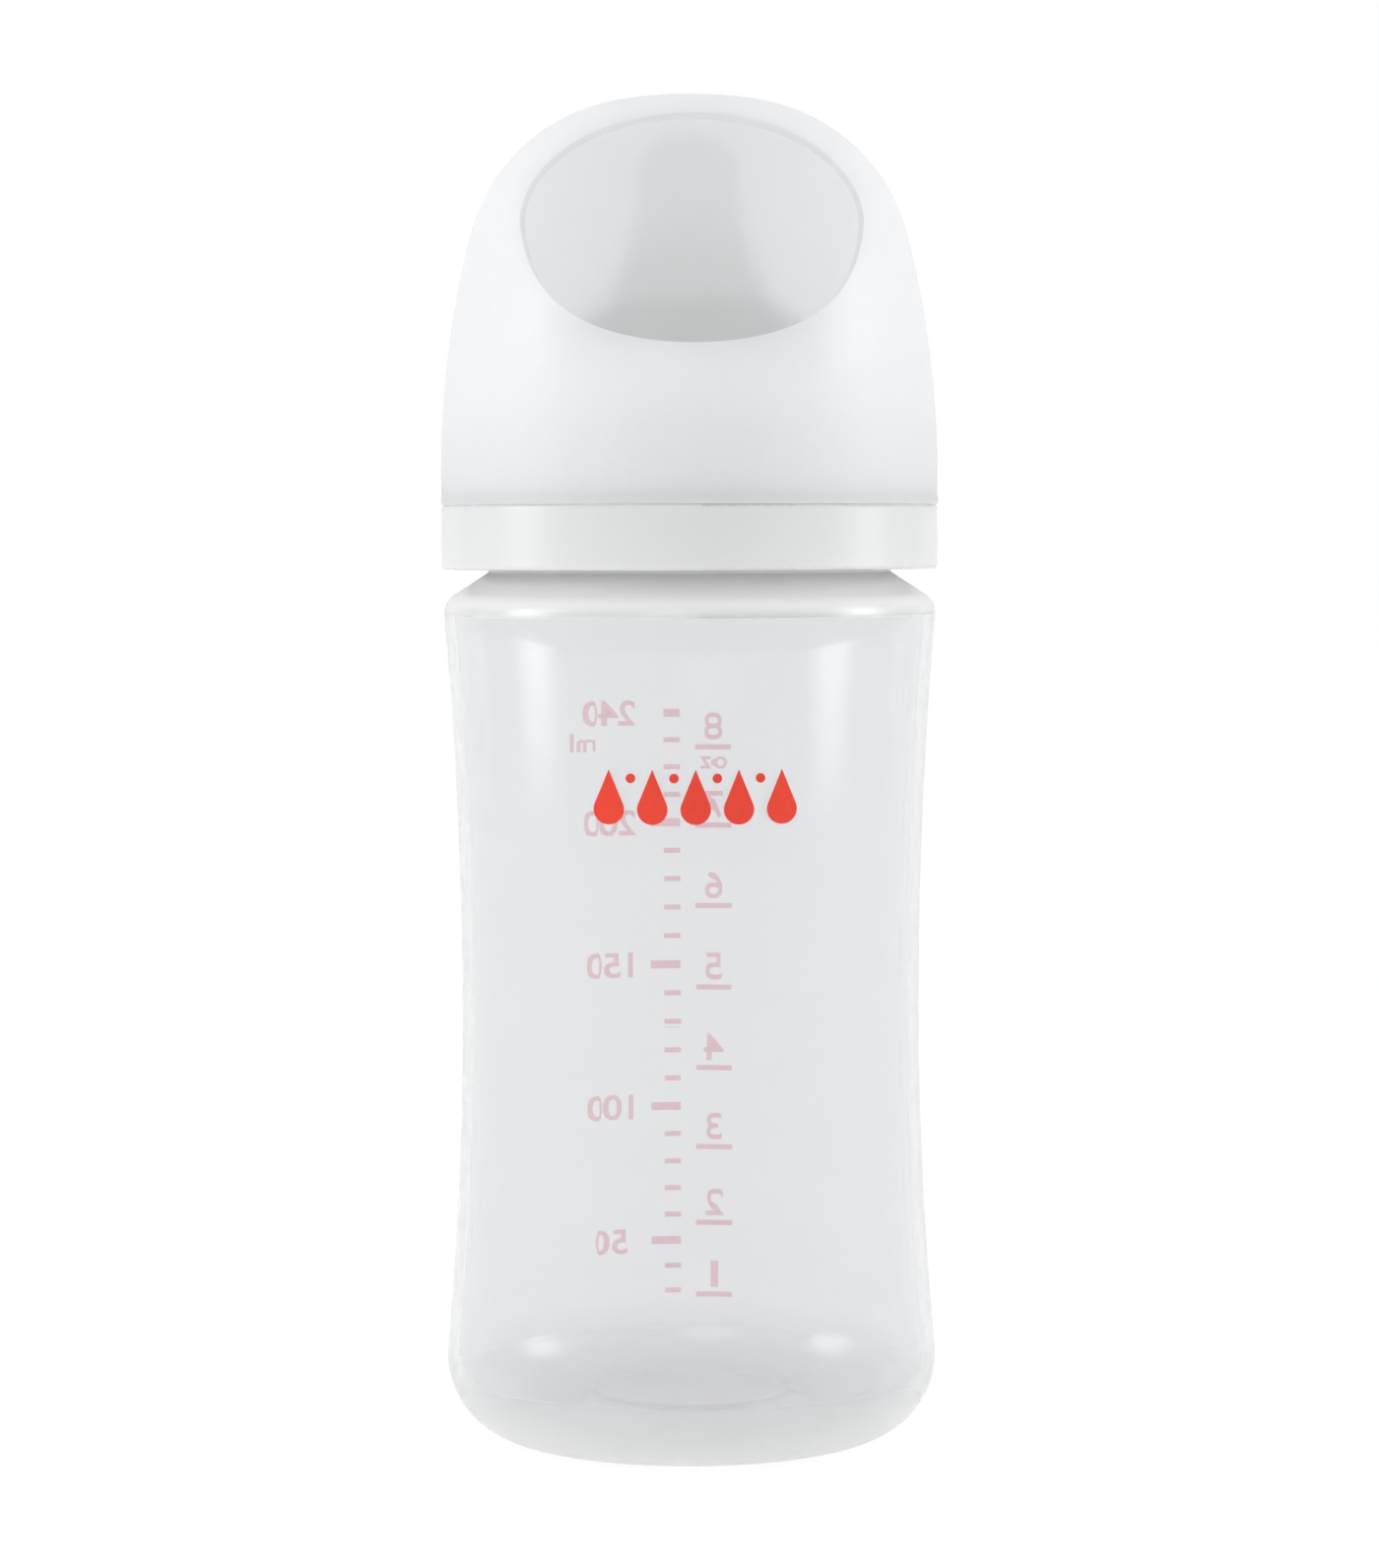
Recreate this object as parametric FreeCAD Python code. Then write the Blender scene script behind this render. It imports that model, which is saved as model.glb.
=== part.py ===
import FreeCAD, Part
import math
import os

# A wide-neck baby bottle: body, silicone nipple, screw collar and snap-on hood.
# Millimetres, +Z up, front towards -Y. The origin is the middle of the foot ring.

# Bottle body
body_radius = 32.0
bottle_wall = 1.4
waist_depth = 2.15
waist_height = 56.8
base_corner_radius = 11.0
base_rise = 4.6
base_disc_radius = 12.3
foot_ring_width = 1.8
gate_mark_radius = 3.1
gate_mark_depth = 0.35
mould_ring_radius = 9.5
mould_ring_width = 0.4
mould_ring_depth = 0.2
shoulder_corner_radius = 3.0
shoulder_slope = math.radians(33)
body_height = 113.3

# Neck and its thread
shoulder_width = 5.8
neck_wall = 1.9
neck_height = 17.7
rim_edge_radius = 0.5
thread_depth = 1.1
thread_root_width = 2.0
thread_crest_width = 1.0
thread_sink = 0.2
thread_lead = 5.0
neck_thread_start = 4.7
neck_thread_turns = 1.4
collar_thread_turns = 1.25

# Collar
thread_gap = 0.4
flank_gap = 0.3
sleeve_wall = 2.6
lower_sleeve_wall = 1.5
collar_foot_gap = 0.4
skirt_height = 8.3
skirt_wall = 1.5
shelf_thickness = 1.8
collar_edge_radius = 0.5
lip_thickness = 2.1
lip_edge_radius = 0.7
sleeve_taper = 0.3
sleeve_edge_radius = 2.0
snap_bead_height = 0.2
snap_bead_width = 1.6
snap_bead_rise = 2.2

# Nipple
nipple_wall = 1.7
flange_thickness = 2.0
flange_seat_width = 1.3
lip_overhang = 2.3
nipple_neck_gap = 0.3
nipple_bead_height = 1.1
nipple_bead_width = 1.2
nipple_bead_gap = 0.2
dome_height = 12.6
teat_foot_radius = 10.4
teat_radius = 6.7
teat_length = 22.0
teat_taper_height = 10.45
teat_waist_curve = 12.0
teat_tip_curve = 5.2
feed_hole_radius = 0.35
valve_radius = 1.3
valve_length = 2.0
valve_slit_width = 0.25

# Hood
hood_wall = 1.4
hood_gap = 0.5
tip_room = 3.75
crown_curve = 54.3
crown_angle = math.radians(10.4)
brow_inset = 3.8
brow_angle = math.radians(75.7)
rim_band_height = 1.1
rim_band_step = 0.12
rim_band_edge = 0.3
collar_step = 0.05
facet_depth = 4.1
facet_curve = 46.4
facet_tilt = math.radians(25)

# Printed scale and front motif
ink_thickness = 0.1
millilitre_step = 10
first_millilitre_mark = 30
last_millilitre_mark = 240
fluid_ounce = 28.41
ounce_marks = 8
tick_inner_edge = 0.65
tick_length = 2.4
tick_height = 0.7
long_tick_length = 4.3
long_tick_height = 1.1
long_tick_step = 50
ounce_bar_edge = 1.65
ounce_bar_length = 4.7
motif_height = 84.0
motif_count = 5
motif_pitch = 5.4
drop_radius = 1.9
drop_length = 5.0
dot_radius = 0.6
dot_rise = 3.9

# Sizes that follow
neck_radius = body_radius - shoulder_width
neck_bore_radius = neck_radius - neck_wall
collar_bore = neck_radius + thread_depth + thread_gap
sleeve_radius = collar_bore + sleeve_wall
hood_radius = sleeve_radius + hood_gap + hood_wall
collar_radius = hood_radius + collar_step
brow_spread = hood_radius - brow_inset - crown_curve * math.sin(crown_angle)
brow_curve = brow_spread / (math.sin(brow_angle) - math.sin(crown_angle))
rim_height = body_height + neck_height
collar_foot = body_height + collar_foot_gap
seam_height = collar_foot + skirt_height
flange_top = rim_height + flange_thickness
collar_top = flange_top + lip_thickness
lip_bore = neck_bore_radius - lip_overhang
nipple_neck_radius = lip_bore - nipple_neck_gap
dome_foot = collar_top + nipple_bead_gap
crease_height = dome_foot + dome_height
nipple_top = crease_height + teat_length
hood_top = nipple_top + tip_room + hood_wall
base_corner_centre = (body_radius - base_corner_radius, base_corner_radius)
waist_radius = body_radius - waist_depth

origin = FreeCAD.Vector(0, 0, 0)
up = FreeCAD.Vector(0, 0, 1)
overrun = 5.0


def at(radius, height):
    """Point of an outline, in the plane through the axis."""
    return FreeCAD.Vector(radius, 0, height)


def line(start, end):
    return Part.LineSegment(start, end).toShape()


def arc(centre, radius, start_angle, end_angle):
    """Arc in the outline's plane. Angles run from the X axis towards +Z."""
    middle_angle = (start_angle + end_angle) / 2
    angles = (start_angle, middle_angle, end_angle)
    ends = [centre + at(radius * math.cos(a), radius * math.sin(a)) for a in angles]
    return Part.Arc(ends[0], ends[1], ends[2]).toShape()


def joined(edges, *corners):
    """The edges in order, with straight lines from the last edge through the corners to the first."""
    stops = [edges[-1].Vertexes[-1].Point]
    stops.extend(corners)
    stops.append(edges[0].Vertexes[0].Point)
    closing = [line(a, b) for a, b in zip(stops, stops[1:]) if a.distanceToPoint(b) > 1e-6]
    return edges + closing


def turned(edges):
    """Solid of revolution from a closed outline."""
    face = Part.Face(Part.Wire(edges))
    return face.revolve(origin, up, 360)


def rounded(corners):
    """Closed outline from (radius, height, corner radius) points, with tangent corner arcs."""
    edges = []
    count = len(corners)
    ends = []
    for index in range(count):
        before = at(*corners[index - 1][:2])
        corner = at(*corners[index][:2])
        after = at(*corners[(index + 1) % count][:2])
        bend = corners[index][2]
        back = (before - corner).normalize()
        ahead = (after - corner).normalize()
        half_angle = back.getAngle(ahead) / 2
        if bend == 0:
            ends.append((corner, corner))
            continue
        reach = bend / math.tan(half_angle)
        inward = (back + ahead).normalize()
        middle = corner + inward * (bend / math.sin(half_angle) - bend)
        start = corner + back * reach
        end = corner + ahead * reach
        edges.append(Part.Arc(start, middle, end).toShape())
        ends.append((start, end))
    for index in range(count):
        start = ends[index][1]
        end = ends[(index + 1) % count][0]
        if start.distanceToPoint(end) > 1e-6:
            edges.append(line(start, end))
    return Part.__sortEdges__(edges)


def side_curve(corner_centre, corner_radius, waist):
    """Radius of the side's long arc, upright at the waist and tangent to a corner arc."""
    across = waist - corner_centre[0]
    along = waist_height - corner_centre[1]
    return (across ** 2 + along ** 2 - corner_radius ** 2) / (2 * (corner_radius - across))


def shoulder_centre():
    """Centre of the shoulder's corner arc, tangent to the cone that rises to the neck."""
    radius = body_radius - shoulder_corner_radius
    cone_start = radius + shoulder_corner_radius * math.sin(shoulder_slope)
    cone_drop = (cone_start - neck_radius) * math.tan(shoulder_slope)
    return radius, body_height - cone_drop - shoulder_corner_radius * math.cos(shoulder_slope)


def base_points(inset):
    """Ends of the raised base's cone: on the central disc and on the foot ring."""
    foot_inner = base_corner_centre[0] - foot_ring_width
    cone_angle = math.atan2(base_rise, foot_inner - base_disc_radius)
    shift = inset * math.tan(cone_angle / 2)
    return (base_disc_radius + shift, base_rise + inset), (foot_inner + shift, inset)


def vessel(inset, throat_radius, top):
    """The bottle's outer form, drawn in by the inset, as a full solid."""
    waist = waist_radius - inset
    disc_edge, foot_edge = base_points(inset)
    lower = base_corner_centre
    lower_bend = base_corner_radius - inset
    lower_curve = side_curve(lower, lower_bend, waist)
    lower_angle = math.atan2(waist_height - lower[1], waist + lower_curve - lower[0])
    upper = shoulder_centre()
    upper_bend = shoulder_corner_radius - inset
    upper_curve = side_curve(upper, upper_bend, waist)
    upper_angle = math.atan2(waist_height - upper[1], waist + upper_curve - upper[0])
    cone_angle = math.pi / 2 - shoulder_slope
    cone_start = upper[0] + upper_bend * math.cos(cone_angle)
    cone_rise = (cone_start - throat_radius) * math.tan(shoulder_slope)
    throat_foot = upper[1] + upper_bend * math.sin(cone_angle) + cone_rise
    edges = [
        arc(at(*lower), lower_bend, -math.pi / 2, lower_angle),
        arc(at(waist + lower_curve, waist_height), lower_curve, math.pi + lower_angle, math.pi),
        arc(at(waist + upper_curve, waist_height), upper_curve, math.pi, math.pi + upper_angle),
        arc(at(*upper), upper_bend, upper_angle, cone_angle),
    ]
    corners = (at(throat_radius, throat_foot), at(throat_radius, top), at(0, top), at(0, disc_edge[1]))
    return turned(joined(edges, *corners, at(*disc_edge), at(*foot_edge)))


def thread_ridge(radius, height, outward, turns):
    """Right-hand helical ridge with its root at the radius, pointing outward (1) or inward (-1)."""
    root = radius - outward * thread_sink
    crest = radius + outward * thread_depth
    half_root = thread_root_width / 2
    half_crest = thread_crest_width / 2
    corners = [at(root, -half_root), at(crest, -half_crest), at(crest, half_crest), at(root, half_root)]
    section = Part.makePolygon(corners + corners[:1])
    helix = Part.makeHelix(thread_lead, thread_lead * turns, radius)
    ridge = Part.Wire(helix.Edges).makePipeShell([section], True, True)
    ridge.translate(up * height)
    return ridge


def bottle_body():
    outside = vessel(0, neck_radius, rim_height)
    gate_mark = Part.makeCylinder(gate_mark_radius, base_rise + gate_mark_depth, origin, up)
    ring_height = base_rise + mould_ring_depth
    mould_ring = Part.makeCylinder(mould_ring_radius, ring_height, origin, up).cut(
        Part.makeCylinder(mould_ring_radius - mould_ring_width, ring_height, origin, up))
    inside = vessel(bottle_wall, neck_bore_radius, rim_height + overrun)
    shell = outside.cut([inside, gate_mark, mould_ring])
    rim_edges = [edge for edge in shell.Edges if edge.CenterOfMass.z > rim_height - rim_edge_radius]
    shell = shell.makeFillet(rim_edge_radius, rim_edges)
    ridge = thread_ridge(neck_radius, body_height + neck_thread_start, 1, neck_thread_turns)
    return shell.fuse(ridge).removeSplitter()


def collar_ring():
    groove_radius = collar_bore + lower_sleeve_wall
    groove_top = seam_height - shelf_thickness
    skirt_inner = collar_radius - skirt_wall
    bead_foot = seam_height + snap_bead_rise
    bead_radius = sleeve_radius + snap_bead_height
    top_radius = sleeve_radius - sleeve_taper
    ring = turned(rounded([
        (collar_bore, collar_foot, 0),
        (groove_radius, collar_foot, 0),
        (groove_radius, groove_top, 0),
        (skirt_inner, groove_top, 0),
        (skirt_inner, collar_foot, 0),
        (collar_radius, collar_foot, collar_edge_radius),
        (collar_radius, seam_height, collar_edge_radius),
        (sleeve_radius, seam_height, 0),
        (sleeve_radius, bead_foot, 0),
        (bead_radius, bead_foot + snap_bead_width / 4, 0),
        (bead_radius, bead_foot + snap_bead_width * 3 / 4, 0),
        (sleeve_radius, bead_foot + snap_bead_width, 0),
        (top_radius, collar_top, sleeve_edge_radius),
        (lip_bore, collar_top, lip_edge_radius),
        (lip_bore, flange_top, 0),
        (collar_bore, flange_top, 0),
    ]))
    flank_reach = thread_root_width - (thread_root_width - thread_crest_width) * thread_gap / thread_depth
    thread_drop = (flank_reach + thread_crest_width) / 2 + flank_gap
    height = body_height + neck_thread_start - thread_drop
    ridge = thread_ridge(collar_bore, height, -1, collar_thread_turns)
    return ring.fuse(ridge).removeSplitter()


def nipple_form(inset, foot):
    """The nipple's neck, dome and teat as a full solid, drawn in by the inset."""
    dome_sink = (nipple_neck_radius ** 2 - teat_foot_radius ** 2 - dome_height ** 2) / (2 * dome_height)
    dome_radius = math.hypot(nipple_neck_radius, dome_sink) - inset
    centre_height = dome_foot - dome_sink
    neck = nipple_neck_radius - inset
    taper = math.atan2(teat_foot_radius - teat_radius, teat_taper_height)
    slope = math.tan(taper)
    # The dome's ball and the teat's cone meet where both have the same radius.
    cone_radius = teat_foot_radius - inset / math.cos(taper) + (crease_height - centre_height) * slope
    square = 1 + slope ** 2
    rise = (cone_radius * slope + math.sqrt(dome_radius ** 2 * square - cone_radius ** 2)) / square
    dome_start = math.acos(neck / dome_radius)
    dome_end = math.asin(rise / dome_radius)
    tip = nipple_top - inset
    side = teat_radius - inset
    waist_curve = teat_waist_curve + inset
    waist_reach = waist_curve * math.tan(taper / 2)
    waist_corner = centre_height + (cone_radius - side) / slope
    waist_end = waist_corner + waist_reach
    waist_centre = at(side + waist_curve, waist_end)
    tip_curve = teat_tip_curve - inset
    tip_centre = at(side - tip_curve, tip - tip_curve)
    dome = arc(at(0, centre_height), dome_radius, dome_start, dome_end)
    waist = arc(waist_centre, waist_curve, math.pi + taper, math.pi)
    end = arc(tip_centre, tip_curve, 0, math.pi / 2)
    edges = [
        dome,
        line(dome.Vertexes[-1].Point, waist.Vertexes[0].Point),
        waist,
        line(waist.Vertexes[-1].Point, end.Vertexes[0].Point),
        end,
    ]
    return turned(joined(edges, at(0, tip), at(0, foot), at(neck, foot)))


def vent_valve():
    """Small slit nub under the flange, behind the teat, that lets air in."""
    radius = (nipple_neck_radius - nipple_wall + neck_bore_radius) / 2
    foot = FreeCAD.Vector(0, radius, rim_height - valve_length)
    nub = Part.makeCylinder(valve_radius, valve_length + flange_thickness / 2, foot, up)
    slit_corner = foot - FreeCAD.Vector(valve_slit_width / 2, valve_radius / 2, 0)
    slit = Part.makeBox(valve_slit_width, valve_radius, valve_length + flange_thickness, slit_corner)
    return nub, slit


def nipple():
    flange_radius = neck_bore_radius + flange_seat_width
    flange = Part.makeCylinder(flange_radius, flange_thickness, at(0, rim_height), up)
    bead_radius = nipple_neck_radius + nipple_bead_height
    bead = turned(rounded([
        (nipple_neck_radius - nipple_wall / 2, dome_foot, 0),
        (bead_radius, dome_foot, 0),
        (bead_radius, dome_foot + nipple_bead_width, nipple_bead_width / 2),
        (nipple_neck_radius - nipple_wall / 2, dome_foot + nipple_bead_width, 0),
    ]))
    nub, slit = vent_valve()
    outside = nipple_form(0, rim_height).fuse([flange, bead])
    inside = nipple_form(nipple_wall, rim_height - overrun)
    feed_hole = Part.makeCylinder(feed_hole_radius, overrun, at(0, nipple_top - overrun), up)
    return outside.cut([inside, feed_hole]).fuse(nub).cut(slit).removeSplitter()


def brow_end():
    """Where the hood's brow arc ends and its side begins, with the brow's centre."""
    crown_centre = hood_top - crown_curve
    reach = crown_curve - brow_curve
    brow = (reach * math.sin(crown_angle), crown_centre + reach * math.cos(crown_angle))
    end = (brow[0] + brow_curve * math.sin(brow_angle), brow[1] + brow_curve * math.cos(brow_angle))
    return brow, end


def hood_form(inset, foot):
    """The hood's dome as a full solid, drawn in by the inset: crown, brow and side arcs."""
    brow, end = brow_end()
    drop = end[1] - seam_height
    spread = hood_radius - end[0]
    outward = drop * math.cos(brow_angle) - spread * math.sin(brow_angle)
    side_radius = (drop ** 2 + spread ** 2) / (2 * outward)
    side = (end[0] - side_radius * math.sin(brow_angle), end[1] - side_radius * math.cos(brow_angle))
    foot_angle = math.atan2(seam_height - side[1], hood_radius - side[0])
    side_angle = math.pi / 2 - brow_angle
    crown_start = math.pi / 2 - crown_angle
    edges = [
        arc(at(*side), side_radius - inset, foot_angle, side_angle),
        arc(at(*brow), brow_curve - inset, side_angle, crown_start),
        arc(at(0, hood_top - crown_curve), crown_curve - inset, crown_start, math.pi / 2),
    ]
    rim_radius = edges[0].Vertexes[0].Point.x
    return turned(joined(edges, at(0, foot), at(rim_radius, foot)))


def facet_cylinder(inset):
    """Tilted cylinder whose front is the broad oval facet at the front of the hood."""
    end = brow_end()[1]
    outward = FreeCAD.Vector(0, -math.cos(facet_tilt), math.sin(facet_tilt))
    along = FreeCAD.Vector(0, math.sin(facet_tilt), math.cos(facet_tilt))
    middle = FreeCAD.Vector(0, facet_depth - end[0], end[1]) - outward * facet_curve
    half_length = hood_top
    return Part.makeCylinder(facet_curve - inset, 2 * half_length, middle - along * half_length, along)


def hood():
    outside = hood_form(0, seam_height).common(facet_cylinder(0))
    inside = hood_form(hood_wall, seam_height - overrun).common(facet_cylinder(hood_wall))
    band_radius = hood_radius + rim_band_step
    band = turned(rounded([
        (hood_radius - hood_wall, seam_height, 0),
        (band_radius, seam_height, rim_band_edge),
        (band_radius, seam_height + rim_band_height, 0),
        (hood_radius - hood_wall, seam_height + rim_band_height, 0),
    ]))
    return outside.fuse(band).cut(inside).removeSplitter()


def cavity_area(height):
    """Area of the water's surface inside the bottle at a height below the shoulder."""
    waist = waist_radius - bottle_wall
    if height < waist_height:
        centre = base_corner_centre
        bend = base_corner_radius - bottle_wall
    else:
        centre = shoulder_centre()
        bend = shoulder_corner_radius - bottle_wall
    curve = side_curve(centre, bend, waist)
    radius = waist + curve - math.sqrt(curve ** 2 - (height - waist_height) ** 2)
    if height < base_corner_radius:
        radius = centre[0] + math.sqrt(bend ** 2 - (height - centre[1]) ** 2)
    disc_edge, foot_edge = base_points(bottle_wall)
    base_radius = 0
    if height < disc_edge[1]:
        share = (height - foot_edge[1]) / (disc_edge[1] - foot_edge[1])
        base_radius = foot_edge[0] + share * (disc_edge[0] - foot_edge[0])
    return math.pi * (radius ** 2 - base_radius ** 2)


def fill_heights(volumes):
    """Height of the water for each volume in millilitres, smallest first."""
    step = 0.02
    height = bottle_wall
    filled = 0
    heights = []
    for volume in volumes:
        while filled < volume:
            height += step
            filled += cavity_area(height - step / 2) * step / 1000
        heights.append(height)
    return heights


def ink_layer():
    """Thin layer of ink over the whole outside of the body."""
    return vessel(-ink_thickness, neck_radius, body_height).cut(vessel(0, neck_radius, rim_height))


def bar_block(left, right, height, thickness):
    """Block that cuts one bar from the ink on the back wall."""
    corner = FreeCAD.Vector(left, 0, height - thickness / 2)
    return Part.makeBox(right - left, body_radius + overrun, thickness, corner)


def millilitre_scale(ink):
    volumes = range(first_millilitre_mark, last_millilitre_mark + 1, millilitre_step)
    blocks = []
    for volume, height in zip(volumes, fill_heights(volumes)):
        long_tick = volume % long_tick_step == 0
        length = long_tick_length if long_tick else tick_length
        thickness = long_tick_height if long_tick or volume == last_millilitre_mark else tick_height
        blocks.append(bar_block(-tick_inner_edge - length, -tick_inner_edge, height, thickness))
    return ink.common(Part.makeCompound(blocks))


def ounce_scale(ink):
    volumes = [fluid_ounce * (count + 1) for count in range(ounce_marks)]
    right = ounce_bar_edge + ounce_bar_length
    blocks = [bar_block(ounce_bar_edge, right, height, tick_height) for height in fill_heights(volumes)]
    return ink.common(Part.makeCompound(blocks))


def drop_block(across, height):
    """Column with a teardrop section, towards the front."""
    centre = FreeCAD.Vector(across, 0, height)
    tilt = math.asin(drop_radius / drop_length)
    tip = centre + up * drop_length
    side = arc(centre, drop_radius, tilt, -math.pi - tilt)
    ends = [vertex.Point for vertex in side.Vertexes]
    outline = Part.Wire([side, line(ends[1], tip), line(tip, ends[0])])
    return Part.Face(outline).extrude(FreeCAD.Vector(0, -body_radius - overrun, 0))


def dot_block(across, height):
    """Round column towards the front."""
    centre = FreeCAD.Vector(across, 0, height)
    return Part.makeCylinder(dot_radius, body_radius + overrun, centre, FreeCAD.Vector(0, -1, 0))


def front_motif(ink):
    """Row of plain drops, with a dot above each gap between them."""
    start = -motif_pitch * (motif_count - 1) / 2
    blocks = [drop_block(start + motif_pitch * index, motif_height) for index in range(motif_count)]
    gaps = [start + motif_pitch * (index + 0.5) for index in range(motif_count - 1)]
    blocks.extend(dot_block(across, motif_height + dot_rise) for across in gaps)
    return ink.common(Part.makeCompound(blocks))


def main():
    os.makedirs("parts", exist_ok=True)
    ink = ink_layer()
    pieces = {
        "bottle_body": bottle_body(),
        "nipple": nipple(),
        "collar_ring": collar_ring(),
        "hood": hood(),
        "millilitre_scale": millilitre_scale(ink),
        "ounce_scale": ounce_scale(ink),
        "front_motif": front_motif(ink),
    }
    for name, shape in pieces.items():
        box = shape.optimalBoundingBox()
        print(name, len(shape.Solids), "solids,", round(shape.Volume, 1), "mm3,", shape.isValid())
        print("  Z", round(box.ZMin, 2), round(box.ZMax, 2), "X", round(box.XMin, 2), round(box.XMax, 2))
        shape.exportStep("parts/" + name + ".step")


main()
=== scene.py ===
import math

import bpy
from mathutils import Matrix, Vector


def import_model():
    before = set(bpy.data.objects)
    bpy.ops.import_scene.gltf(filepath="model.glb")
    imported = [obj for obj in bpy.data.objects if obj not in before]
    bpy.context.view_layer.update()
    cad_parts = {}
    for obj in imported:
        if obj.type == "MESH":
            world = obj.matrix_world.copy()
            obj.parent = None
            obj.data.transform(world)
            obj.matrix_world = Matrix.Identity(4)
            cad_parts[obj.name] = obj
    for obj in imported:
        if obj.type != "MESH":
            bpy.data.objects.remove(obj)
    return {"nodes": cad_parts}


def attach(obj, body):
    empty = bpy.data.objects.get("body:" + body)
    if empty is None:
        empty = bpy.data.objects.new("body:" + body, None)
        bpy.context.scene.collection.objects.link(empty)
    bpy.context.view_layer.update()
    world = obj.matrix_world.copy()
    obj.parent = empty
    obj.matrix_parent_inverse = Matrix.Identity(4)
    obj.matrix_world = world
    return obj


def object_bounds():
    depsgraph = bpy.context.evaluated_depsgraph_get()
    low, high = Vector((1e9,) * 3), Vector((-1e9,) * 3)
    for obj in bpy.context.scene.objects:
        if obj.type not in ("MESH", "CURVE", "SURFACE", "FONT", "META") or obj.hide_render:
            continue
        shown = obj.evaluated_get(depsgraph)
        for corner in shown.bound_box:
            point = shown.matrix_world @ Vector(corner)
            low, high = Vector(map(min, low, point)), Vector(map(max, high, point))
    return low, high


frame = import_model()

nodes = frame["nodes"]
cad_low, cad_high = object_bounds()
mm = 0.001

# Photograph: its height, the focal length and the horizon's row in pixels, then where the camera stands
image_height = 1592
focal_pixels = 4850
horizon_row = 540
camera_distance = 0.6232
camera_height = 0.1185
camera_orbit = math.radians(-1.3)
camera_roll = math.radians(0.14)
sensor_long_side = 36.0

# Oval facet on the hood's front: a cylinder about a tilted axis
facet_tilt = math.radians(25)
facet_curve = 46.4 * mm
facet_centre = Vector((0, 17.75, 137.2)) * mm

# Heights where the body's clear wall turns milky, and how milky its foot gets
base_level = 14 * mm
shoulder_level = 108.5 * mm
base_milk_share = 0.6

# Refractive index of each material
plastic_ior = 1.49
silicone_ior = 1.41

# Print on the back wall. A middle is a distance along X, and widths and weight are shares of the font's own
ink_lift = 0.04 * mm
ink_half_thickness = 0.03 * mm
millilitre_number_height = 3.5 * mm
ounce_number_height = 3.7 * mm
number_width = 1.11
unit_width = 1.25
print_weight = 0.018
millilitre_numbers_middle = -11.0 * mm
millilitre_unit_height = 2.5 * mm
millilitre_unit_middle = -15.1 * mm
millilitre_unit_drop = 5.2 * mm
ounce_numbers_middle = 4.0 * mm
ounce_number_rise = 1.0 * mm
ounce_unit_height = 1.75 * mm
ounce_unit_drop = 3.0 * mm

# Bars that the frame holds: one every 10 mL from 30 to 240, none as thick as thickest_bar
millilitre_bars = range(30, 250, 10)
numbered_step = 50
thickest_bar = 1.3 * mm

# Farther from the axis than any part of the object
well_outside = 100 * mm


class Nodes:
    """A short way to add shader nodes and link them."""

    def __init__(self, tree):
        self.tree = tree
        tree.nodes.clear()

    def add(self, kind, inputs=None, **settings):
        node = self.tree.nodes.new("ShaderNode" + kind)
        for name, value in settings.items():
            setattr(node, name, value)
        for key, value in (inputs or {}).items():
            if isinstance(value, bpy.types.NodeSocket):
                self.tree.links.new(value, node.inputs[key])
            else:
                node.inputs[key].default_value = value
        return node

    def math(self, operation, *values):
        node = self.add("Math", dict(enumerate(values)), operation=operation)
        return node.outputs[0]

    def vector(self, operation, *values):
        node = self.add("VectorMath", dict(enumerate(values)), operation=operation)
        return node.outputs[0]

    def ramp(self, value, low, high, to_low, to_high):
        node = self.add("MapRange", {
            "Value": value,
            "From Min": low,
            "From Max": high,
            "To Min": to_low,
            "To Max": to_high,
        })
        return node.outputs[0]

    def between(self, share, first, second):
        """Number that goes from first to second as share goes from 0 to 1."""
        node = self.add("Mix", {0: share, 2: first, 3: second}, data_type="FLOAT")
        return node.outputs[0]

    def colour_between(self, share, first, second):
        """Colour that goes from first to second as share goes from 0 to 1."""
        node = self.add("Mix", {0: share, 6: (*first, 1), 7: (*second, 1)}, data_type="RGBA")
        return node.outputs[2]

    def noise(self, place, scale, detail=2.0, roughness=0.5):
        node = self.add("TexNoise", {
            "Vector": place,
            "Scale": scale,
            "Detail": detail,
            "Roughness": roughness,
        })
        return node.outputs["Fac"]


def new_material(name):
    """An empty material, and its nodes to fill in."""
    material = bpy.data.materials.new(name)
    material.use_nodes = True
    return material, Nodes(material.node_tree)


def with_glow_through(made, shader, share, colour):
    """Mixes in a share that lets light through softly, as milky plastic does, and ends the material."""
    through = made.add("BsdfTranslucent", {"Color": (*colour, 1)})
    both = made.add("MixShader", {0: share, 1: shader.outputs[0], 2: through.outputs[0]})
    made.add("OutputMaterial", {"Surface": both.outputs[0]})


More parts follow.
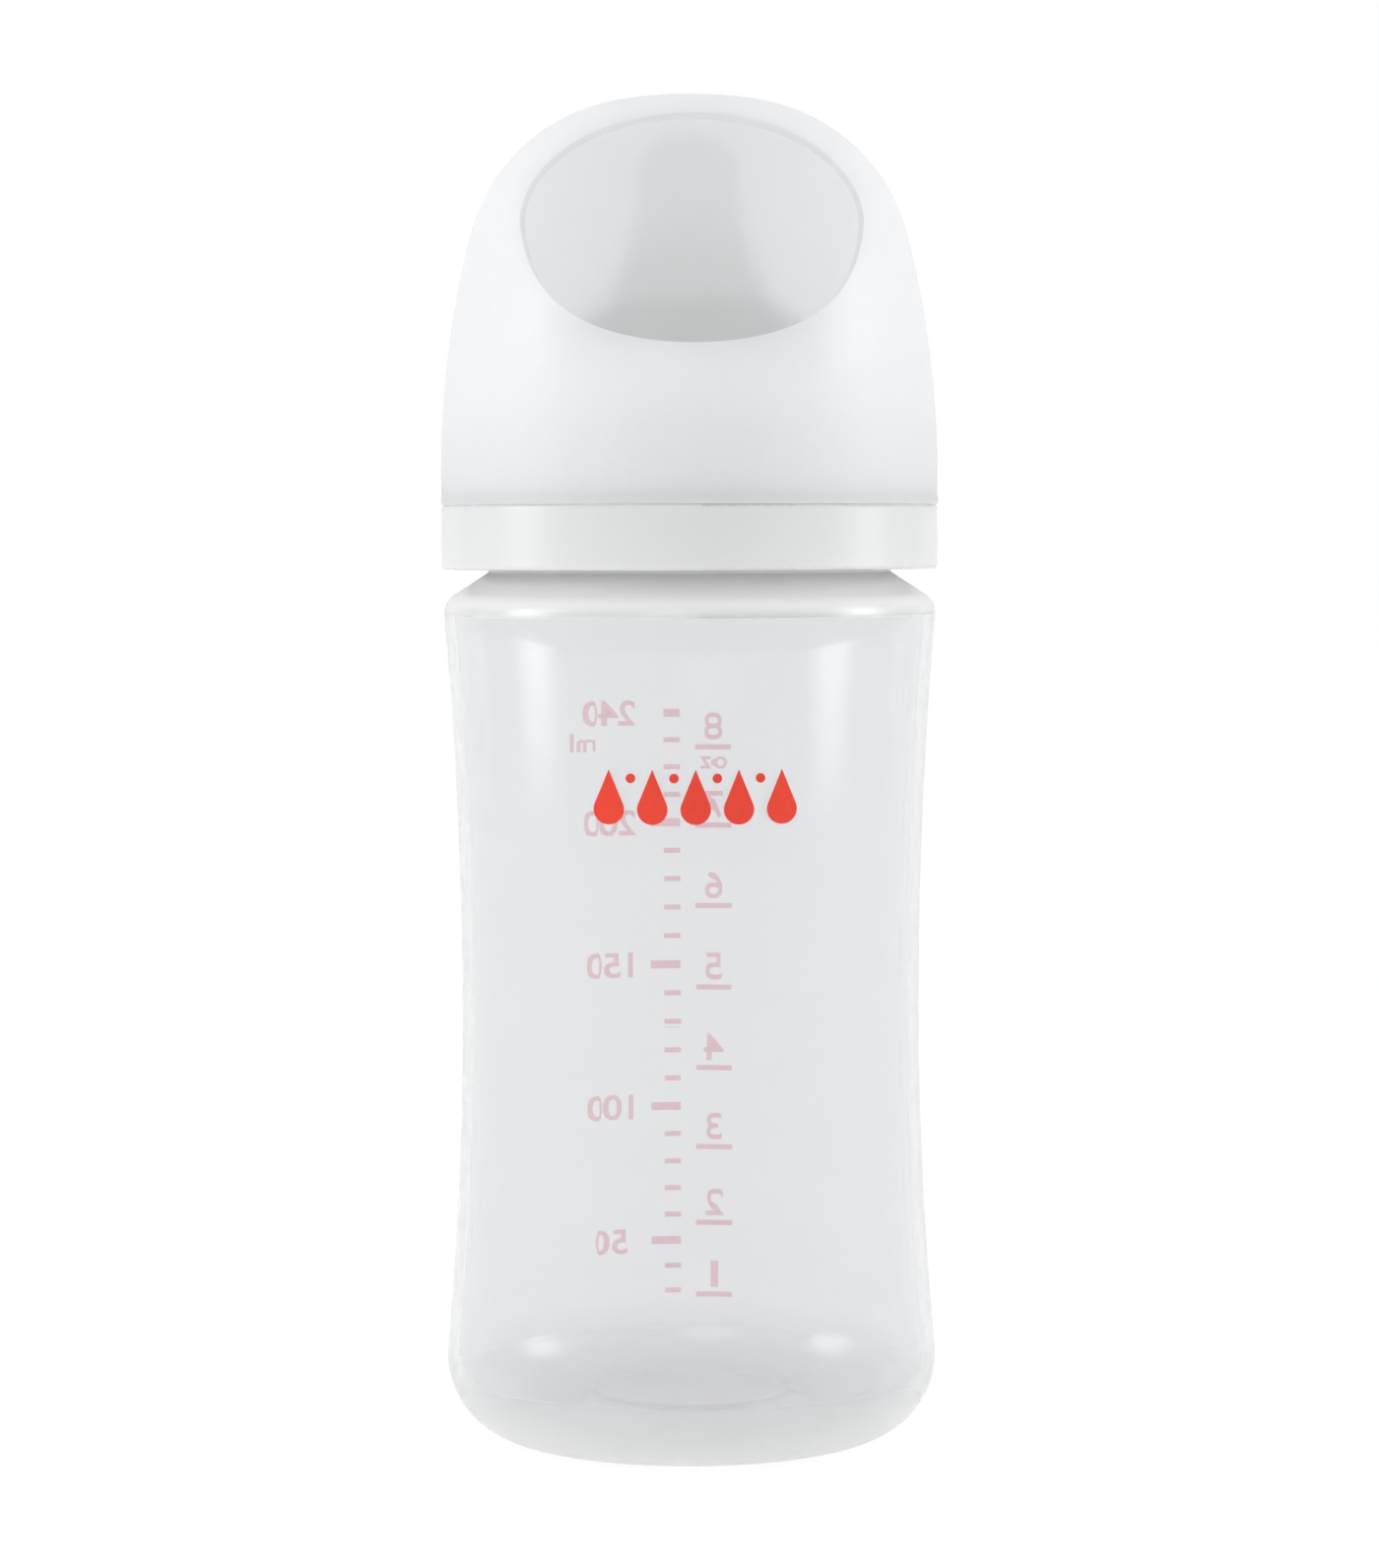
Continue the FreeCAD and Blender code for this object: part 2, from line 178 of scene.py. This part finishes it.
def body_plastic():
    """Clear polypropylene with faint flow marks and fine scuffs, milkier where it was stretched least."""
    material, made = new_material("body_plastic")
    place = made.add("TexCoord").outputs["Object"]
    stretched = made.add("Mapping", {"Vector": place, "Scale": (1, 1, 0.25)}).outputs[0]
    flow = made.noise(stretched, 60)
    scuffs = made.noise(place, 900, 4, 0.6)
    height = made.add("SeparateXYZ", {0: place}).outputs["Z"]
    shoulder_milk = made.ramp(height, shoulder_level - mm, shoulder_level + mm, 0, 1)
    near_foot = made.math("POWER", made.ramp(height, 0, base_level, 1, 0), 1.5)
    base_milk = made.math("MULTIPLY", near_foot, base_milk_share)
    milk = made.math("MAXIMUM", shoulder_milk, base_milk)
    smooth = made.ramp(scuffs, 0.3, 0.75, 0.012, 0.03)
    blurred = made.math("MAXIMUM", shoulder_milk, near_foot)
    roughness = made.between(blurred, smooth, 0.25)
    clear = made.ramp(milk, 0, 1, 0.9, 0)
    colour = made.colour_between(milk, (0.9, 0.91, 0.92), (0.995, 0.995, 0.99))
    bump = made.add("Bump", {"Height": flow, "Strength": 0.01, "Distance": 0.4 * mm})
    shader = made.add("BsdfPrincipled", {
        "Base Color": colour,
        "Roughness": roughness,
        "IOR": plastic_ior,
        "Transmission Weight": clear,
        "Normal": bump.outputs[0],
    })
    with_glow_through(made, shader, made.ramp(milk, 0, 1, 0, 0.45), (0.985, 0.985, 0.98))
    return material


def facet_mask(made):
    """One on both faces of the hood's polished facet: near its curve, with the normal along its radius."""
    coordinates = made.add("TexCoord")
    facet_axis = Vector((0, math.sin(facet_tilt), math.cos(facet_tilt)))
    offset = made.vector("SUBTRACT", coordinates.outputs["Object"], facet_centre)
    along = made.add("VectorMath", {0: offset, 1: facet_axis}, operation="DOT_PRODUCT").outputs["Value"]
    shift = made.add("VectorMath", {0: facet_axis, "Scale": along}, operation="SCALE").outputs[0]
    across = made.vector("SUBTRACT", offset, shift)
    reach = made.add("VectorMath", {0: across}, operation="LENGTH").outputs["Value"]
    outward = made.vector("NORMALIZE", across)
    facing = made.add("VectorMath", {0: outward, 1: coordinates.outputs["Normal"]}, operation="DOT_PRODUCT")
    aligned = made.ramp(made.math("ABSOLUTE", facing.outputs["Value"]), 0.93, 0.98, 0, 1)
    near_facet = made.ramp(reach, facet_curve - 3 * mm, facet_curve - 2 * mm, 0, 1)
    return made.math("MULTIPLY", aligned, near_facet)


def hood_plastic():
    """Frosted polypropylene with a polished facet: fine sparkle grain over a soft blur."""
    material, made = new_material("hood_plastic")
    place = made.add("TexCoord").outputs["Object"]
    facet = facet_mask(made)
    grain = made.noise(place, 2600, 2, 0.6)
    cloud = made.noise(place, 45, 3)
    frosted = made.ramp(cloud, 0.3, 0.7, 0.40, 0.48)
    roughness = made.between(facet, frosted, 0.24)
    clear = made.ramp(facet, 0, 1, 0.12, 1)
    strength = made.ramp(facet, 0, 1, 0.8, 0.02)
    bump = made.add("Bump", {"Height": grain, "Strength": strength, "Distance": 0.1 * mm})
    shader = made.add("BsdfPrincipled", {
        "Base Color": (0.985, 0.99, 0.995, 1),
        "Roughness": roughness,
        "IOR": plastic_ior,
        "Transmission Weight": clear,
        "Normal": bump.outputs[0],
    })
    with_glow_through(made, shader, made.ramp(facet, 0, 1, 0.56, 0.05), (0.95, 0.955, 0.962))
    return material


def collar_plastic():
    """Glossy white polypropylene with a slight depth and fine moulding marks."""
    material, made = new_material("collar_plastic")
    place = made.add("TexCoord").outputs["Object"]
    fine = made.noise(place, 400, 3, 0.6)
    shade = made.noise(place, 30, 2)
    colour = made.colour_between(shade, (0.71, 0.715, 0.715), (0.745, 0.75, 0.755))
    roughness = made.ramp(fine, 0.3, 0.7, 0.2, 0.215)
    bump = made.add("Bump", {"Height": fine, "Strength": 0.004, "Distance": 0.1 * mm})
    shader = made.add("BsdfPrincipled", {
        "Base Color": colour,
        "Roughness": roughness,
        "IOR": plastic_ior,
        "Subsurface Weight": 0.5,
        "Subsurface Radius": (1, 1, 1),
        "Subsurface Scale": 2.5 * mm,
        "Normal": bump.outputs[0],
    })
    with_glow_through(made, shader, 0.12, (0.9, 0.9, 0.9))
    return material


def silicone():
    """Soft milky silicone: smooth, with slow cloudiness and a fine dusty grain."""
    material, made = new_material("silicone")
    place = made.add("TexCoord").outputs["Object"]
    cloud = made.noise(place, 120, 3)
    fine = made.noise(place, 2200, 2)
    roughness = made.ramp(cloud, 0.3, 0.7, 0.1, 0.16)
    bump = made.add("Bump", {"Height": fine, "Strength": 0.08, "Distance": 0.1 * mm})
    shader = made.add("BsdfPrincipled", {
        "Base Color": (0.996, 0.994, 0.99, 1),
        "Roughness": roughness,
        "IOR": silicone_ior,
        "Transmission Weight": 0.5,
        "Normal": bump.outputs[0],
    })
    with_glow_through(made, shader, 0.85, (0.995, 0.993, 0.99))
    return material


def ink(name, colour, worn_colour, see_through, lit_colour):
    """Screen-printed ink: nearly even, with tiny spots of a paler tone, and partly clear."""
    material, made = new_material(name)
    place = made.add("TexCoord").outputs["Object"]
    speckle = made.ramp(made.noise(place, 5000, 2), 0.55, 0.75, 0, 0.5)
    tone = made.colour_between(speckle, colour, worn_colour)
    roughness = made.ramp(made.noise(place, 1200, 2), 0.3, 0.7, 0.4, 0.55)
    shader = made.add("BsdfPrincipled", {"Base Color": tone, "Roughness": roughness})
    through = made.add("BsdfTransparent", {"Color": (*lit_colour, 1)})
    both = made.add("MixShader", {0: see_through, 1: shader.outputs[0], 2: through.outputs[0]})
    made.add("OutputMaterial", {"Surface": both.outputs[0]})
    return material


materials = {
    "body_plastic": body_plastic(),
    "hood_plastic": hood_plastic(),
    "collar_plastic": collar_plastic(),
    "silicone": silicone(),
    "scale_ink": ink(
        "scale_ink",
        colour=(1.0, 0.5, 0.58),
        worn_colour=(1.0, 0.65, 0.7),
        see_through=0.9,
        lit_colour=(1.0, 0.78, 0.81),
    ),
    "motif_ink": ink(
        "motif_ink",
        colour=(0.84, 0.045, 0.015),
        worn_colour=(0.87, 0.14, 0.07),
        see_through=0.2,
        lit_colour=(1.0, 0.15, 0.08),
    ),
}

for node in nodes.values():
    for slot in node.material_slots:
        slot.material = materials[slot.material.name.split(".")[0]]


def wall_radius(angle, height):
    """Outer radius of the bottle body at an angle from the back, read from its mesh."""
    direction = Vector((math.sin(angle), math.cos(angle), 0))
    start = direction * well_outside + Vector((0, 0, height))
    hit, place, _, _ = nodes["bottle_body"].ray_cast(start, -direction)
    if not hit:
        raise ValueError(f"no wall at height {height}")
    return math.hypot(place.x, place.y)


def back_print(name, text, height, middle, foot, width=number_width):
    """Text printed on the outside of the back wall, bent to its curve, to be read from behind."""
    curve = bpy.data.curves.new(name, "FONT")
    curve.body = text
    curve.align_x = "CENTER"
    curve.size = 1.0
    curve.extrude = 0.5
    curve.offset = print_weight
    letters = bpy.data.objects.new(name + "_letters", curve)
    mesh = bpy.data.meshes.new_from_object(letters)
    bpy.data.objects.remove(letters)
    low = min(v.co.y for v in mesh.vertices)
    high = max(v.co.y for v in mesh.vertices)
    left = min(v.co.x for v in mesh.vertices)
    right = max(v.co.x for v in mesh.vertices)
    scale = height / (high - low)
    for vertex in mesh.vertices:
        across = middle - (vertex.co.x - (left + right) / 2) * scale * width
        level = foot + (vertex.co.y - low) * scale
        # The box's half width is near enough to the wall's radius to find the wall
        wall = wall_radius(across / cad_high.x, level)
        angle = across / wall
        out = wall + ink_lift + vertex.co.z * 2 * ink_half_thickness
        vertex.co = (math.sin(angle) * out, math.cos(angle) * out, level)
    mesh.materials.append(materials["scale_ink"])
    printed = bpy.data.objects.new(name, mesh)
    bpy.context.scene.collection.objects.link(printed)
    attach(printed, "bottle")


def mark_heights(name):
    """Middle heights of the bars in a printed scale, lowest first, read from its mesh."""
    levels = sorted({round(v.co.z, 5) for v in nodes[name].data.vertices})
    bars = [[levels[0]]]
    for level in levels[1:]:
        if level - bars[-1][-1] < thickest_bar:
            bars[-1].append(level)
        else:
            bars.append([level])
    return [(bar[0] + bar[-1]) / 2 for bar in bars]


def print_scales():
    """Numbers and units beside the bars: every 50 mL and the top one, and every ounce."""
    millilitres = mark_heights("millilitre_scale")
    for volume, level in zip(millilitre_bars, millilitres):
        if volume % numbered_step == 0 or volume == millilitre_bars[-1]:
            foot = level - millilitre_number_height / 2
            name = f"millilitre_number_{volume}"
            back_print(name, str(volume), millilitre_number_height, millilitre_numbers_middle, foot)
    foot = millilitres[-1] - millilitre_unit_drop
    back_print("millilitre_unit", "ml", millilitre_unit_height, millilitre_unit_middle, foot, unit_width)
    ounces = mark_heights("ounce_scale")
    for count, level in enumerate(ounces, 1):
        foot = level + ounce_number_rise
        back_print(f"ounce_number_{count}", str(count), ounce_number_height, ounce_numbers_middle, foot)
    foot = ounces[-1] - ounce_unit_drop
    back_print("ounce_unit", "oz", ounce_unit_height, ounce_numbers_middle, foot, unit_width)


print_scales()


def photo_camera():
    """Camera where the photograph was taken from, pitched so that the horizon keeps its row."""
    camera = bpy.data.cameras.new("photo_camera")
    camera.sensor_width = sensor_long_side
    camera.lens = focal_pixels / image_height * sensor_long_side
    camera.clip_start = 0.01
    camera.clip_end = 100
    pitch = math.atan((image_height / 2 - horizon_row) / focal_pixels)
    holder = bpy.data.objects.new("photo_camera", camera)
    holder.location = (
        math.sin(camera_orbit) * camera_distance,
        -math.cos(camera_orbit) * camera_distance,
        camera_height,
    )
    holder.rotation_euler = (math.pi / 2 - pitch, camera_roll, camera_orbit)
    bpy.context.scene.collection.objects.link(holder)
    bpy.context.scene.camera = holder


photo_camera()


# Studio: the surround's brightness along Y, from behind the camera (-1) to behind the bottle (1)
panel_levels = (
    (-1, 0.65),
    (-0.7, 0.65),
    (-0.45, 0.8),
    (-0.2, 1.0),
    (0.57, 0.9),
    (0.58, 0.0),
    (0.61, 0.0),
    (0.62, 1.0),
)
ceiling_level = 0.95
ceiling_edge = (0.4, 0.6)
floor_radius = 4
floor_sides = 64
floor_colour = 0.12
floor_glow = 0.9
far_floor_glow = 0.93
floor_glow_reach = (0.3, 1.5)
softbox_distance = 0.9


def world():
    """White behind with a thin dark rim, bright sides and ceiling, and a dimmer room behind the camera."""
    sky = bpy.data.worlds.new("studio")
    bpy.context.scene.world = sky
    sky.use_nodes = True
    made = Nodes(sky.node_tree)
    direction = made.add("TexCoord").outputs["Generated"]
    split = made.add("SeparateXYZ", {0: direction})
    around = made.add("ValToRGB", {0: made.ramp(split.outputs["Y"], -1, 1, 0, 1)})
    stops = around.color_ramp.elements
    stops.remove(stops[0])
    for number, (depth, level) in enumerate(panel_levels):
        position = (depth + 1) / 2
        stop = stops[0] if number == 0 else stops.new(position)
        stop.position = position
        stop.color = (level, level, level, 1)
    above = made.ramp(split.outputs["Z"], *ceiling_edge, 0.0, ceiling_level)
    lit = made.math("MAXIMUM", around.outputs["Color"], above)
    camera = made.add("LightPath").outputs["Is Camera Ray"]
    strength = made.between(camera, lit, 1.0)
    background = made.add("Background", {"Color": (1, 1, 1, 1), "Strength": strength})
    made.add("OutputWorld", {"Surface": background.outputs[0]})


def floor():
    """Wide light table: it glows from below and keeps the bottle's soft shadow."""
    mesh = bpy.data.meshes.new("floor")
    turns = [math.tau * k / floor_sides for k in range(floor_sides)]
    ring = [(math.cos(turn) * floor_radius, math.sin(turn) * floor_radius, 0) for turn in turns]
    mesh.from_pydata(ring, [], [list(range(floor_sides))])
    ground = bpy.data.objects.new("floor", mesh)
    bpy.context.scene.collection.objects.link(ground)
    material, made = new_material("floor")
    diffuse = made.add("BsdfDiffuse", {"Color": (floor_colour, floor_colour, floor_colour, 1)})
    place = made.add("TexCoord").outputs["Object"]
    away = made.add("VectorMath", {0: place}, operation="LENGTH").outputs["Value"]
    level = made.ramp(away, *floor_glow_reach, floor_glow, far_floor_glow)
    glow = made.add("Emission", {"Color": (1, 1, 1, 1), "Strength": level})
    both = made.add("AddShader", {0: diffuse.outputs[0], 1: glow.outputs[0]})
    made.add("OutputMaterial", {"Surface": both.outputs[0]})
    mesh.materials.append(material)


def softbox(name, azimuth, elevation, width, height, power):
    """Area light with fading edges, facing the middle of the bottle. Azimuth 0 is the camera's side."""
    light = bpy.data.lights.new(name, "AREA")
    light.shape = "RECTANGLE"
    light.size = width
    light.size_y = height
    light.energy = power
    light.use_nodes = True
    made = Nodes(light.node_tree)
    place = made.add("SeparateXYZ", {0: made.add("NewGeometry").outputs["Parametric"]})
    fades = [made.math("SINE", made.math("MULTIPLY", place.outputs[axis], math.pi)) for axis in ("X", "Y")]
    glow = made.add("Emission", {"Strength": made.math("MULTIPLY", *fades)})
    made.add("OutputLight", {"Surface": glow.outputs[0]})
    lamp = bpy.data.objects.new(name, light)
    middle = Vector((0, 0, cad_high.z / 2))
    turn = math.radians(azimuth)
    rise = math.radians(elevation)
    out = Vector((math.sin(turn) * math.cos(rise), -math.cos(turn) * math.cos(rise), math.sin(rise)))
    lamp.location = middle + out * softbox_distance
    lamp.rotation_euler = out.to_track_quat("Z", "Y").to_euler()
    bpy.context.scene.collection.objects.link(lamp)


world()
floor()
softbox("left_softbox", azimuth=-82, elevation=16, width=0.5, height=0.55, power=6.0)
softbox("right_softbox", azimuth=87, elevation=16, width=0.5, height=0.55, power=6.0)
softbox("front_softbox", azimuth=-10, elevation=20, width=0.6, height=0.5, power=2.4)

scene = bpy.context.scene
scene.view_settings.view_transform = "Standard"
scene.cycles.max_bounces = 24
scene.cycles.transmission_bounces = 24
scene.cycles.glossy_bounces = 24
scene.cycles.diffuse_bounces = 12
scene.cycles.transparent_max_bounces = 16
